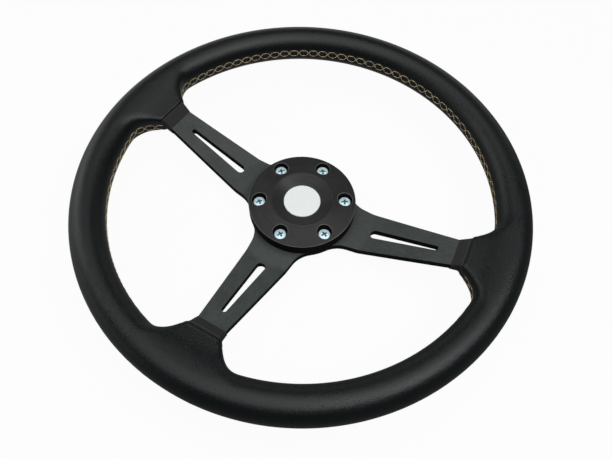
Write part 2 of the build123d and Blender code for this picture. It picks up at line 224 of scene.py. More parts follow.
class Finishes(bpy.types.PropertyGroup):
    """Colours of the finishes, and of the painted shade in the leather's creases and on the screws."""

    leather: colour("Leather", "Dyed leather", (0.0042, 0.0070, 0.0074))
    # Painted shade in the creases of the leather's grain.
    leather_crease_shade: colour("Leather creases", "Leather in its creases", (0.0020, 0.0034, 0.0036))
    thread: colour("Thread", "Waxed seam thread", (0.62, 0.50, 0.30))
    moulded: colour("Moulded black", "Moulded collars and plastic pieces", (0.0062, 0.0062, 0.0066))
    spoke: colour("Spoke black", "Anodised brushed plate", (0.048, 0.0555, 0.0520))
    ring: colour("Ring black", "Anodised turned ring", (0.0220, 0.0225, 0.0221))
    zinc: colour("Zinc", "Plated screws", (0.72, 0.90, 0.94))
    # Painted shade in the screws' cross recesses and at the foot of their heads, tinted blue like the
    # plating.
    zinc_shade: colour("Deep zinc", "Plating in the recess and at the foot of the head", (0.05, 0.21, 0.29))
    cap: colour("Cap", "Pale button cap", (0.82, 0.865, 0.85))
    brass: colour("Brass", "Contacts and terminals", (0.62, 0.46, 0.19))
    steel: colour("Steel", "Hidden steel pieces", (0.40, 0.40, 0.41))


class StageSettings(bpy.types.PropertyGroup):
    """Camera, floor and lamps. Lamps are placed to the right, away from the camera and up."""

    camera_at: place("Camera", "Camera position", (0.11388, -0.20979, 0.39331))
    camera_aim: place("Aim", "Point that the camera looks at", (0.01644, -0.02264, 0.0165))
    camera_roll: angle("Roll", "Turn of the camera about its line of sight", 0.04087)
    lens: focal_length("Lens", "Focal length in millimetres", 32.118)
    floor: colour("Floor", "Plain pale floor and backdrop", (0.70, 0.70, 0.70))
    floor_r: size("Floor radius", "Radius of the flat floor", 3.0)
    cove_r: size("Cove", "Radius of the curve from the floor to the backdrop", 0.6)
    backdrop_h: size("Backdrop height", "Height of the backdrop all round", 1.2)
    top_at: place("Overhead place", "Place of the overhead lamp", (-0.05, -0.10, 1.05))
    top_size: extent("Overhead size", "Width and height of the overhead lamp", (1.15, 1.45))
    top: power("Overhead", "Power of the overhead lamp", 8.6)
    key_at: place("Key place", "Place of the key lamp", (0.56, -0.27, 0.97))
    key_size: extent("Key size", "Width and height of the key lamp", (0.8, 0.35))
    key: power("Key", "Power of the key lamp", 4.4)
    back_at: place("Back place", "Place of the back lamp", (-0.90, 0.40, 0.56))
    back_size: extent("Back size", "Width and height of the back lamp", (0.6, 0.45))
    back: power("Back", "Power of the back lamp", 2.2)
    sky: share("Sky", "Strength of the even light", 0.08)
    front_glow: share("Front glow", "White of the floor in reflections on the camera's side", 0.1)
    back_glow: share("Back glow", "White of the floor in reflections behind the wheel", 0.75)
    glow_turn: angle("Glow turn", "Turn of the floor's bright side to the left", math.radians(38.0))
    front_end: size("Front end", "Where the floor starts to brighten, from the hub to the camera", 0.1)
    back_start: size("Back start", "Where the floor is brightest, from the hub away from the camera", 0.8)


def settings():
    """The wheel's settings on the scene."""
    return bpy.context.scene.wheel


# Meshes


def circle(count):
    """Even angles all round."""
    return [2 * math.pi * k / count for k in range(count)]


def polar(r, a, z):
    """A point at a radius, an angle and a height."""
    return (r * math.cos(a), r * math.sin(a), z)


def turned(degrees, x, y, z):
    """A point given along and across a spoke, in the wheel's frame."""
    a = math.radians(degrees)
    return (x * math.cos(a) - y * math.sin(a), x * math.sin(a) + y * math.cos(a), z)


def add_tube(bm, loops, closed):
    """Skins a list of point loops, and closes the ends or the ring."""
    rings = [[bm.verts.new(p) for p in loop] for loop in loops]
    pairs = list(zip(rings, rings[1:]))
    if closed:
        pairs.append((rings[-1], rings[0]))
    for a, b in pairs:
        for k in range(len(a)):
            n = (k + 1) % len(a)
            bm.faces.new((a[k], a[n], b[n], b[k]))
    if not closed:
        bm.faces.new(rings[0][::-1])
        bm.faces.new(rings[-1])


def tube_mesh(name, tubes=(), rings=()):
    """A mesh of skinned tubes, some with two ends and some closed to a ring."""
    bm = bmesh.new()
    for loops in rings:
        add_tube(bm, loops, True)
    for loops in tubes:
        add_tube(bm, loops, False)
    bmesh.ops.recalc_face_normals(bm, faces=bm.faces)
    mesh = bpy.data.meshes.new(name)
    bm.to_mesh(mesh)
    bm.free()
    return mesh


def linked(name, data):
    """A new object in the scene."""
    made = bpy.data.objects.new(name, data)
    bpy.context.scene.collection.objects.link(made)
    return made


def new_piece(name, mesh, material):
    """A mesh as a piece that rides on the wheel."""
    piece = linked(name, mesh)
    piece.data.materials.append(material)
    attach(piece, "wheel")
    return piece


def shade_smooth(mesh):
    """Smooth shading on every face."""
    mesh.polygons.foreach_set("use_smooth", [True] * len(mesh.polygons))


def apply_modifiers(piece):
    """Replaces the mesh by its modified shape."""
    shape = bpy.data.meshes.new_from_object(piece.evaluated_get(bpy.context.evaluated_depsgraph_get()))
    old = piece.data
    piece.modifiers.clear()
    piece.data = shape
    bpy.data.meshes.remove(old)


def cut_away(piece, cutters):
    """Cuts the shapes of some meshes out of a piece, and removes those meshes."""
    for mesh in cutters:
        cut = piece.modifiers.new("Cut", "BOOLEAN")
        cut.operation, cut.solver, cut.object = "DIFFERENCE", "EXACT", linked(mesh.name, mesh)
    apply_modifiers(piece)
    for mesh in cutters:
        bpy.data.meshes.remove(mesh)


def read_rows(mesh, what):
    """The mesh's points ("co") or normals ("normal") as rows of three numbers."""
    values = np.empty(len(mesh.vertices) * 3)
    mesh.vertices.foreach_get(what, values)
    return values.reshape(-1, 3)


def write_points(mesh, points):
    """Moves the mesh's points."""
    mesh.vertices.foreach_set("co", points.ravel())
    mesh.update()


def surface_tree(mesh):
    """A lookup of the nearest place on a mesh."""
    return BVHTree.FromPolygons([v.co for v in mesh.vertices], [tuple(p.vertices) for p in mesh.polygons])


# Shader groups

COLOUR, NUMBER, VECTOR = "NodeSocketColor", "NodeSocketFloat", "NodeSocketVector"
BLACK = (0, 0, 0, 1)
NOISE_LOW, NOISE_HIGH = 0.3, 0.7
GRAIN_WARP = 0.0009  # how far the grain's cells are bent, in metres
PEBBLE_EDGE = 0.28  # where a cell's crease ends
WALL_LEVELS, EDGE_HIGHLIGHT_LEVELS = (0.3, 0.6), (0.9, 0.82)  # how far a face looks up on walls, which get painted shade, and on edges, which get a painted highlight


def group(name, *inputs):
    """A shader group that works a light and a dark colour into a finish, and its two end nodes."""
    tree = bpy.data.node_groups.new(name, "ShaderNodeTree")
    for socket, kind, value in (("Light", COLOUR, BLACK), ("Dark", COLOUR, BLACK), *inputs):
        made = tree.interface.new_socket(name=socket, in_out="INPUT", socket_type=kind)
        made.default_value = value
    for socket, kind in (("Colour", COLOUR), ("Height", NUMBER), ("Roughness", NUMBER)):
        tree.interface.new_socket(name=socket, in_out="OUTPUT", socket_type=kind)
    return tree, tree.nodes.new("NodeGroupInput"), tree.nodes.new("NodeGroupOutput")


def node(tree, kind, **values):
    """A node with settings by attribute, or by socket for names with a capital."""
    made = tree.nodes.new(kind)
    for key, value in values.items():
        if key[0].isupper():
            made.inputs[key.replace("_", " ")].default_value = value
        else:
            setattr(made, key, value)
    return made


def math_node(tree, operation, first, second):
    """A math node whose operands are numbers or sockets."""
    made = node(tree, "ShaderNodeMath", operation=operation)
    for k, value in enumerate((first, second)):
        if isinstance(value, (int, float)):
            made.inputs[k].default_value = value
        else:
            tree.links.new(value, made.inputs[k])
    return made.outputs[0]


def plus(tree, first, second):
    """The sum of two operands."""
    return math_node(tree, "ADD", first, second)


def times(tree, first, second):
    """The product of two operands."""
    return math_node(tree, "MULTIPLY", first, second)


def weighed(tree, first, first_weight, second, second_weight):
    """The sum of two sockets, each with its weight."""
    return plus(tree, times(tree, first, first_weight), times(tree, second, second_weight))


def mix_colour(tree, factor, first, second):
    """Mixes two colour sockets by a factor socket."""
    made = node(tree, "ShaderNodeMix", data_type="RGBA")
    tree.links.new(factor, made.inputs[0])
    tree.links.new(first, made.inputs[6])
    tree.links.new(second, made.inputs[7])
    return made.outputs[2]


def ramp(tree, value, low, high):
    """A value spread from 0 at low to 1 at high."""
    made = node(tree, "ShaderNodeMapRange", From_Min=low, From_Max=high)
    tree.links.new(value, made.inputs["Value"])
    return made.outputs[0]


def coordinate(tree, kind):
    """A texture coordinate: the place on the object ("Object") or the direction of its face ("Normal")."""
    return node(tree, "ShaderNodeTexCoord").outputs[kind]


def split(tree, vector_socket):
    """The three parts of a vector."""
    made = node(tree, "ShaderNodeSeparateXYZ")
    tree.links.new(vector_socket, made.inputs[0])
    return made.outputs


def noise(tree, at, **values):
    """A noise texture at a coordinate."""
    made = node(tree, "ShaderNodeTexNoise", **values)
    tree.links.new(at, made.inputs["Vector"])
    return made


def clouds(tree, at, **values):
    """A noise spread from 0 to 1."""
    return ramp(tree, noise(tree, at, **values).outputs["Fac"], NOISE_LOW, NOISE_HIGH)


def grain_group():
    """Pebbled skin: cells, fine wrinkles and a soft unevenness, with painted shade in the creases between the
    cells.
    """
    tree, start, end = group("skin_grain", ("Scale", NUMBER, 900.0))
    link = tree.links.new
    at = coordinate(tree, "Object")
    warp = noise(tree, at, Scale=420.0, Detail=2.0)
    moved = node(tree, "ShaderNodeVectorMath", operation="MULTIPLY_ADD")
    link(warp.outputs["Color"], moved.inputs[0])
    moved.inputs[1].default_value = [GRAIN_WARP] * 3
    link(at, moved.inputs[2])
    cells = node(tree, "ShaderNodeTexVoronoi", feature="DISTANCE_TO_EDGE")
    link(moved.outputs[0], cells.inputs["Vector"])
    link(start.outputs["Scale"], cells.inputs["Scale"])
    pebble = ramp(tree, cells.outputs["Distance"], 0.0, PEBBLE_EDGE)
    uneven = clouds(tree, at, Scale=38.0, Detail=3.0, Roughness=0.55)
    wrinkle = noise(tree, at, Scale=2600.0, Detail=2.0).outputs["Fac"]
    link(weighed(tree, pebble, 0.75, wrinkle, 0.3), end.inputs["Height"])
    # Painted shade: the creases between the cells go to the dark colour.
    tone = times(tree, pebble, plus(tree, times(tree, uneven, 0.3), 0.7))
    link(mix_colour(tree, tone, start.outputs["Dark"], start.outputs["Light"]), end.inputs["Colour"])
    link(plus(tree, weighed(tree, uneven, 0.04, pebble, -0.06), 0.32), end.inputs["Roughness"])
    return tree


def streak_group():
    """Lines of a stretched coordinate, as brushing and turning leave, with a painted highlight on the edges
    and painted shade on the walls.
    """
    tree, start, end = group(
        "fine_streaks", ("Vector", VECTOR, (0, 0, 0)), ("Wall Shade", COLOUR, BLACK), ("Edge", COLOUR, BLACK),
        ("Base Roughness", NUMBER, 0.4),
    )
    link = tree.links.new
    streak = clouds(tree, start.outputs["Vector"], Scale=1.0, Detail=4.0, Roughness=0.65)
    cloudy = clouds(tree, coordinate(tree, "Object"), Scale=55.0, Detail=3.0)
    level = math_node(tree, "ABSOLUTE", split(tree, coordinate(tree, "Normal"))[2], 0.0)
    face = ramp(tree, level, *WALL_LEVELS)
    edge = ramp(tree, level, *EDGE_HIGHLIGHT_LEVELS)
    link(times(tree, streak, face), end.inputs["Height"])
    tone = weighed(tree, streak, 0.75, cloudy, 0.25)
    worked = mix_colour(tree, tone, start.outputs["Dark"], start.outputs["Light"])
    # Painted highlight: the edges are lightened towards the edge colour.
    edge_highlight = mix_colour(tree, edge, worked, start.outputs["Edge"])
    # Painted shade: the walls go to the near-black wall colour.
    link(mix_colour(tree, face, start.outputs["Wall Shade"], edge_highlight), end.inputs["Colour"])
    wall = math_node(tree, "SUBTRACT", 1.0, face)
    change = plus(tree, weighed(tree, streak, -0.1, cloudy, 0.06), times(tree, wall, 0.6))
    link(plus(tree, change, start.outputs["Base Roughness"]), end.inputs["Roughness"])
    return tree


def speckle_group():
    """Moulded or plated unevenness: a fine speckle over soft clouds."""
    tree, start, end = group("soft_speckle", ("Scale", NUMBER, 1500.0), ("Base Roughness", NUMBER, 0.5))
    link = tree.links.new
    at = coordinate(tree, "Object")
    fine = noise(tree, at, Detail=2.0)
    link(start.outputs["Scale"], fine.inputs["Scale"])
    fleck = ramp(tree, fine.outputs["Fac"], NOISE_LOW, NOISE_HIGH)
    cloudy = clouds(tree, at, Scale=90.0, Detail=3.0)
    link(fleck, end.inputs["Height"])
    tone = weighed(tree, fleck, 0.5, cloudy, 0.5)
    link(mix_colour(tree, tone, start.outputs["Dark"], start.outputs["Light"]), end.inputs["Colour"])
    link(plus(tree, times(tree, cloudy, 0.12), start.outputs["Base Roughness"]), end.inputs["Roughness"])
    return tree


EFFECTS = {"skin_grain": grain_group, "fine_streaks": streak_group, "soft_speckle": speckle_group}


# Materials


def scaled(rgb, factor):
    """A colour made lighter or darker, for a shader socket."""
    return (*(min(1.0, c * factor) for c in rgb), 1.0)


def plain_material(name, **principled):
    """A material with some of its shader's values, its node tree and its shader."""
    material = bpy.data.materials.new(name)
    material.use_nodes = True
    shader = material.node_tree.nodes["Principled BSDF"]
    for key, value in principled.items():
        shader.inputs[key.replace("_", " ")].default_value = value
    return material, material.node_tree, shader


def dressed(name, effect, values, bump, **principled):
    """A material whose colour, roughness and bump (strength, distance) come from one effect group."""
    known = bpy.data.materials.get(name)
    if known:
        return known
    material, tree, shader = plain_material(name, **principled)
    link = tree.links.new
    look = node(tree, "ShaderNodeGroup", node_tree=bpy.data.node_groups.get(effect) or EFFECTS[effect]())
    for key, value in values.items():
        look.inputs[key].default_value = value
    link(look.outputs["Colour"], shader.inputs["Base Color"])
    link(look.outputs["Roughness"], shader.inputs["Roughness"])
    raised = node(tree, "ShaderNodeBump", Strength=bump[0], Distance=bump[1])
    link(look.outputs["Height"], raised.inputs["Height"])
    link(raised.outputs["Normal"], shader.inputs["Normal"])
    return material


def leather_material():
    """Black leather with a fine grain."""
    look = settings().finishes
    # The dark colour is painted shade in the grain's creases.
    values = {"Scale": 900.0, "Light": scaled(look.leather, 1.0), "Dark": scaled(look.leather_crease_shade, 1.0)}
    return dressed("black_leather", "skin_grain", values, (0.35, 0.00025), Specular_IOR_Level=0.34)


def streaked_material(name, rgb, stretch, rough, bump):
    """A black metal with lines, stretched along the radius, the turn and the height about the hub axis."""
    known = bpy.data.materials.get(name)
    if known:
        return known
    # The wall colour is painted shade, and the edge colour a painted highlight.
    values = {
        "Light": scaled(rgb, 1.45), "Dark": scaled(rgb, 0.6), "Wall Shade": scaled(rgb, 0.05),
        "Edge": scaled(rgb, 7.0), "Base Roughness": rough,
    }
    material = dressed(name, "fine_streaks", values, bump, Specular_IOR_Level=0.2)
    tree = material.node_tree
    look = next(n for n in tree.nodes if n.type == "GROUP")
    x, y, z = split(tree, coordinate(tree, "Object"))
    radius = math_node(tree, "SQRT", plus(tree, times(tree, x, x), times(tree, y, y)), 0.0)
    turn = math_node(tree, "ARCTAN2", y, x)
    joined = node(tree, "ShaderNodeCombineXYZ")
    for k, value in enumerate((radius, turn, z)):
        tree.links.new(times(tree, value, stretch[k]), joined.inputs[k])
    tree.links.new(joined.outputs[0], look.inputs["Vector"])
    return material


def speckled_material(name, rgb, spread, scale, rough, bump, **principled):
    """A moulded, plated or plain finish with a fine speckle."""
    light, dark = scaled(rgb, 1 + spread), scaled(rgb, 1 - spread)
    values = {"Scale": scale, "Light": light, "Dark": dark, "Base Roughness": rough}
    return dressed(name, "soft_speckle", values, bump, **principled)


def paint_screw_shade(material, rgb, top_z):
    """Paints shade, tinted blue like the plating, on a screw from just under its crown: in the recess and at
    the foot of the head.
    """
    tree = material.node_tree
    link = tree.links.new
    base = tree.nodes["Principled BSDF"].inputs["Base Color"]
    plating = base.links[0].from_socket
    height = split(tree, coordinate(tree, "Object"))[2]
    shaded = node(tree, "ShaderNodeMix", data_type="RGBA")
    shaded.inputs[6].default_value = (*rgb, 1.0)
    link(ramp(tree, height, top_z - SHADE_END, top_z - SHADE_START), shaded.inputs[0])
    link(plating, shaded.inputs[7])
    link(shaded.outputs[2], base)


class WHEEL_OT_finishes(bpy.types.Operator):
    """Gives each solid its finish"""

    bl_idname = "wheel.finishes"
    bl_label = "Metal and plastic finishes"

    def execute(self, context):
        look = settings().finishes
        plain_metal = {"spread": 0.12, "scale": 1200.0, "bump": (0.05, 0.00005), "Metallic": 1.0}
        by_slot = {
            "black_anodised": streaked_material(
                "brushed_black", look.spoke, stretch=(150.0, 150.0, 150.0), rough=0.42, bump=(0.12, 0.0001)
            ),
            "ring_black": streaked_material(
                "turned_black", look.ring, stretch=(1700.0, 1.0, 1100.0), rough=0.34, bump=(0.25, 0.0002)
            ),
            "moulded_black": speckled_material(
                "moulded_black", look.moulded, spread=0.25, scale=1600.0, rough=0.55,
                bump=(0.25, 0.0001), Specular_IOR_Level=0.08,
            ),
            "zinc_steel": speckled_material(
                "zinc_plate", look.zinc, spread=0.06, scale=1900.0, rough=0.3,
                bump=(0.1, 0.00005), Metallic=0.3,
            ),
            "cap_pale": speckled_material(
                "pale_cap", look.cap, spread=0.02, scale=1200.0, rough=0.3, bump=(0.03, 0.00005)
            ),
            "brass": speckled_material("brass", look.brass, rough=0.3, **plain_metal),
            "steel": speckled_material("plain_steel", look.steel, rough=0.35, **plain_metal),
        }
        # Painted shade in the screws' recesses and at the foot of their heads.
        paint_screw_shade(by_slot["zinc_steel"], look.zinc_shade, SCREW_HIGH[2])
        for part in frame["record"]["subparts"]:
            material = by_slot.get(part["material_slot"])
            if material:
                for holder in frame["nodes"][part["node"]].material_slots:
                    holder.material = material
        return {"FINISHED"}


# Leather rim


def through_three(x, xs, ys):
    """The curve of second degree through three points."""
    first = (ys[1] - ys[0]) / (xs[1] - xs[0])
    second = ((ys[2] - ys[1]) / (xs[2] - xs[1]) - first) / (xs[2] - xs[0])
    return ys[0] + first * (x - xs[0]) + second * (x - xs[0]) * (x - xs[1])


def boss_sizes(rim, r):
    """Width, height and level of a boss at a radius."""
    xs = (rim.edge_r, rim.neck_r, rim.root_r)
    width = through_three(r, xs, (rim.edge_w, rim.neck_w, rim.root_w))
    height = through_three(r, xs, (rim.edge_h, rim.neck_h, rim.root_h))
    level = through_three(r, xs, (rim.edge_z, (rim.edge_z + rim.centre_z) / 2, rim.centre_z))
    return width, height, level


def boss_loop(rim, spoke, r):
    """Points round a boss at a radius, with its own corner radius on top and at the back."""
    width, height, level = boss_sizes(rim, r)
    points = []
    for k in range(BOSS_SIDES):
        a = 2 * math.pi * (k + 0.5) / BOSS_SIDES
        corner = rim.top_r if math.sin(a) > 0 else rim.back_r
        across = math.copysign(width / 2 - corner, math.cos(a)) + corner * math.cos(a)
        up = math.copysign(height / 2 - corner, math.sin(a)) + corner * math.sin(a)
        points.append(turned(spoke, r, across, level + up))
    return points


def rim_shape(rim):
    """The oval ring and three bosses as one rough mesh."""
    half_w, half_h = rim.section_w / 2, rim.section_h / 2
    middle = rim.outer_r - half_w
    oval = [(middle + half_w * math.cos(p), rim.centre_z + half_h * math.sin(p)) for p in circle(RIM_SIDES)]
    ring = [[polar(r, a, z) for r, z in oval] for a in circle(RIM_TURNS)]
    radii = [rim.edge_r + (rim.root_r - rim.edge_r) * k / (BOSS_LOOPS - 1) for k in range(BOSS_LOOPS)]
    bosses = [[boss_loop(rim, spoke, r) for r in radii] for spoke in SPOKE_ANGLES]
    return tube_mesh("leather_rim", tubes=bosses, rings=[ring])


def soft_min(a, b, width):
    """The lower of two fields, with a rounded change from one to the other."""
    near = np.maximum(width - np.abs(a - b), 0) / width
    return np.minimum(a, b) - near * near * width / 4


def rim_field(rim, points):
    """About the distance from the leather, negative inside: the rim joined to its bosses by soft hollows."""
    half_w, half_h = rim.section_w / 2, rim.section_h / 2
    inner = rim.outer_r - rim.section_w
    out = (np.hypot(points[:, 0], points[:, 1]) - rim.outer_r + half_w) / half_w
    field = (np.hypot(out, (points[:, 2] - rim.centre_z) / half_h) - 1) * half_w
    for spoke in SPOKE_ANGLES:
        a = math.radians(spoke)
        along = points[:, 0] * math.cos(a) + points[:, 1] * math.sin(a)
        across = np.abs(points[:, 1] * math.cos(a) - points[:, 0] * math.sin(a))
        on_boss = np.clip(along, rim.edge_r, rim.root_r)
        width, height, level = boss_sizes(rim, on_boss)
        up = points[:, 2] - level
        to_root = (on_boss - rim.edge_r) / (rim.root_r - rim.edge_r)
        corner = np.where(up > 0, rim.top_r + (rim.top_root_r - rim.top_r) * to_root, rim.back_r)
        side, face = across - width / 2 + corner, np.abs(up) - height / 2 + corner
        outside = np.hypot(np.maximum(side, 0), np.maximum(face, 0))
        boss = outside + np.minimum(np.maximum(side, face), 0) - corner
        boss -= rim.hem * np.clip((rim.edge_r + rim.hem_w - along) / (HEM_FADE * rim.hem_w), 0, 1)
        boss = -soft_min(-boss, along - rim.edge_r, rim.edge_round)
        boss = np.maximum(boss, along - rim.root_r)
        fade = np.clip((rim.root_r - along) / (rim.root_r - inner), LEAST_HOLLOW, 1)
        field = soft_min(field, boss, rim.hollow * fade)
    return field


def settle(rim, points):
    """Moves points on to the surface of the field."""
    for _ in range(SETTLE_ROUNDS):
        value = rim_field(rim, points)
        slope = np.empty_like(points)
        for k in range(3):
            shift = np.zeros(3)
            shift[k] = SETTLE_STEP
            ahead, behind = rim_field(rim, points + shift), rim_field(rim, points - shift)
            slope[:, k] = (ahead - behind) / (2 * SETTLE_STEP)
        move = np.clip(value / np.maximum((slope ** 2).sum(axis=1), LEAST_SLOPE), -rim.cell, rim.cell)
        points -= slope * move[:, None]
    return points


def ease(rim, points, pairs):
    """Evens out the leather away from its cut edges, so that rim and bosses flow together."""
    away = np.hypot(points[:, 0], points[:, 1]) - rim.edge_r
    weight = EASE_SHARE * np.clip((away - rim.ease_start) / rim.ease_start, 0, 1)[:, None]
    ends = np.r_[pairs[:, 0], pairs[:, 1]]
    others = np.r_[pairs[:, 1], pairs[:, 0]]
    count = np.maximum(np.bincount(ends, minlength=len(points)), 1)
    for _ in range(rim.ease_rounds):
        sums = [np.bincount(ends, points[others, k], len(points)) for k in range(3)]
        middle = np.stack([total / count for total in sums], axis=1)
        points = points + weight * (middle - points)
    return points


def seam_route(rim, seam, start, stop, climb):
    """Evenly spaced points of a seam: off one boss, round the inner side of the rim, up to the next boss."""
    inner = rim.outer_r - rim.section_w
    first, last = [], []
    for r in np.linspace(rim.edge_r, inner + 3 * MM, BOSS_STEPS):
        width, _, level = boss_sizes(rim, r)
        if math.hypot(r, width / 2) > inner:
            break
        first.append(turned(start, r, width / 2, level - seam.drop))
        last.append(turned(stop, r, -(width / 2), level - seam.drop))
    a0 = math.atan2(first[-1][1], first[-1][0])
    a1 = math.atan2(last[-1][1], last[-1][0])
    while a1 < a0:
        a1 += 2 * math.pi
    arc = [polar(inner, a, rim.centre_z - seam.drop) for a in np.linspace(a0, a1, ARC_STEPS)[1:-1]]
    route = np.array(first + arc + last[::-1])
    steps = np.r_[0, np.cumsum(np.linalg.norm(np.diff(route, axis=0), axis=1))]
    even = np.arange(0, steps[-1], SEAM_STEP)
    route = np.stack([np.interp(even, steps, route[:, k]) for k in range(3)], axis=1)
    for _ in range(ROUTE_ROUNDS):
        route[1:-1] = 0.5 * route[1:-1] + 0.25 * (route[:-2] + route[2:])
    route[:, 2] += seam.climb * climb * np.sin(np.linspace(0, math.pi, len(route)))
    return route


def press_seam(mesh, rim, seam):
    """Presses a shallow valley into the leather along the seam."""
    points, normals = read_rows(mesh, "co"), read_rows(mesh, "normal")
    leather = surface_tree(mesh)
    routes = np.concatenate([seam_route(rim, seam, *window) for window in WINDOWS.values()])
    lookup = KDTree(len(routes))
    for k, p in enumerate(routes):
        lookup.insert(leather.find_nearest(Vector(p))[0], k)
    lookup.balance()
    inside = rim.outer_r - rim.section_w + SEAM_REACH
    for k in np.nonzero(np.hypot(points[:, 0], points[:, 1]) < inside)[0]:
        away = lookup.find(points[k])[2]
        if away < 2 * seam.groove_w:
            points[k] -= normals[k] * seam.groove * math.exp(-((away / seam.groove_w) ** 2) * 2)
    write_points(mesh, points)


class WHEEL_OT_leather(bpy.types.Operator):
    """Makes the leather rim with its bosses, seam valley and turned edges"""

    bl_idname = "wheel.leather"
    bl_label = "Leather rim"

    def execute(self, context):
        rim, seam = settings().rim, settings().seam
        piece = new_piece("leather_rim", rim_shape(rim), leather_material())
        joined = piece.modifiers.new("Join", "REMESH")
        joined.mode = "VOXEL"
        joined.voxel_size = rim.cell
        joined.adaptivity = 0.0
        apply_modifiers(piece)
        mesh = piece.data
        pairs = np.empty(len(mesh.edges) * 2, dtype=np.int32)
        mesh.edges.foreach_get("vertices", pairs)
        write_points(mesh, ease(rim, settle(rim, read_rows(mesh, "co")), pairs.reshape(-1, 2)))
        press_seam(mesh, rim, seam)
        shade_smooth(mesh)
        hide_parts("leather_cover")
        return {"FINISHED"}


# Stitches


def stitch_runs(length, pitch):
    """The ends of each stitch, as (along, across in rows), and its lift: two in the rows, two that cross."""
    cells = int(length / pitch)
    pitch = length / cells
    runs = []
    for cell in range(cells):
        s = cell * pitch
        half, whole = s + pitch / 2, s + pitch
        runs += [((s, 0.5), (half, 0.5), ROW_LIFT), ((s, -0.5), (half, -0.5), ROW_LIFT)]
        if cell < cells - 1:
            runs += [((half, 0.5), (whole, -0.5), UNDER_LIFT), ((half, -0.5), (whole, 0.5), OVER_LIFT)]
    return runs


def stitch_points(leather, route, tangent, rows, run):
    """Points of one stitch lying on the leather, its ends sunk into their holes."""
    (s0, v0), (s1, v1), lift = run
    points = []
    for t in np.linspace(0, 1, STITCH_POINTS):
        s, v = s0 + (s1 - s0) * t, v0 + (v1 - v0) * t
        k = s / SEAM_STEP
        i = min(int(k), len(route) - 2)
        base = Vector(route[i]).lerp(Vector(route[i + 1]), k - i)
        on, normal, _, _ = leather.find_nearest(base)
        side = normal.cross(Vector(tangent[i])).normalized()
        on, normal, _, _ = leather.find_nearest(on + side * (v * rows))
        arch = 1 - (2 * t - 1) ** 6
        points.append(on + normal * (lift * arch - STITCH_SINK * (1 - arch)))
    return points


def thread_loops(points, radius):
    """Loops of a thread round a line of points."""
    loops = []
    for k, p in enumerate(points):
        along = (points[min(k + 1, len(points) - 1)] - points[max(k - 1, 0)]).normalized()
        u = (u - along * u.dot(along)).normalized() if loops else along.orthogonal().normalized()
        w = along.cross(u)
        loops.append([p + (u * math.cos(a) + w * math.sin(a)) * radius for a in circle(STITCH_SIDES)])
    return loops


class WHEEL_OT_stitches(bpy.types.Operator):
    """Sews the crossed stitches along the inner side of the rim and the sides of the bosses"""

    bl_idname = "wheel.stitches"
    bl_label = "Seam stitches"

    def execute(self, context):
        rim, seam = settings().rim, settings().seam
        material = speckled_material(
            "waxed_thread", settings().finishes.thread, spread=0.35, scale=2400.0, rough=0.55,
            bump=(0.5, 0.0002),
        )
        leather = surface_tree(bpy.data.objects["leather_rim"].data)
        for name, window in WINDOWS.items():
            route = seam_route(rim, seam, *window)
            tangent = np.gradient(route, axis=0)
            stitches = [
                thread_loops(stitch_points(leather, route, tangent, seam.rows, run), seam.thread_r)
                for run in stitch_runs(SEAM_STEP * (len(route) - 1), seam.pitch)
            ]
            mesh = tube_mesh(name + "_stitches", tubes=stitches)
            shade_smooth(mesh)
            piece = new_piece(name + "_stitches", mesh, material)
            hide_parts(name)
        return {"FINISHED"}


# Hub ring


def rounded_corner(before, corner, after, radius):
    """Points that round one corner of a profile."""
    corner = Vector(corner)
    back, on = (Vector(before) - corner).normalized(), (Vector(after) - corner).normalized()
    reach = radius * math.tan((math.pi - back.angle(on)) / 2)
    first, last = corner + back * reach, corner + on * reach
    return [first.lerp(corner, t).lerp(corner.lerp(last, t), t) for t in np.linspace(0, 1, CORNER_POINTS)]


def ring_profile(ring):
    """The ring's section as (radius, height), rounded at the edges that show."""
    corners = [
        ((ring.inner_r, ring.foot_z), 0.0),
        ((ring.outer_r, ring.foot_z), 0.0),
        ((ring.outer_r, ring.edge_z), ring.edge_round),
        ((ring.crest_r, ring.crest_z), ring.crest_round),
        ((ring.bore_r, ring.bore_z), ring.bore_round),
        ((ring.bore_r, ring.lip_z), 0.0),
        ((ring.inner_r, ring.lip_z), 0.0),
    ]
    points = []
    for k, (corner, radius) in enumerate(corners):
        if radius:
            points += rounded_corner(corners[k - 1][0], corner, corners[(k + 1) % len(corners)][0], radius)
        else:
            points.append(corner)
    return points


def well_loops(ring, centre):
    """Loops of the cutter for one screw well, whose upper edge follows the sloping top of the ring."""
    fall = (ring.crest_z - ring.edge_z) / (ring.outer_r - ring.crest_r)

    def loop(radius, height, on_top):
        points = []
        for a in circle(SCREW_SIDES):
            p = Vector((centre[0] + radius * math.cos(a), centre[1] + radius * math.sin(a), height))
            if on_top:
                p.z += ring.edge_z + fall * (ring.outer_r - math.hypot(p.x, p.y))
            points.append(p)
        return points

    hole = [(ring.hole_r, ring.foot_z - CUT_CLEAR), (ring.hole_r, ring.well_z), (ring.well_r, ring.well_z)]
    edge = [
        (ring.well_r + ring.well_round * (1 - math.cos(a)), ring.well_round * (math.sin(a) - 1))
        for a in WELL_EDGE
    ]
    edge.append((edge[-1][0], WELL_CLEAR))
    return [loop(r, z, False) for r, z in hole] + [loop(r, z, True) for r, z in edge]


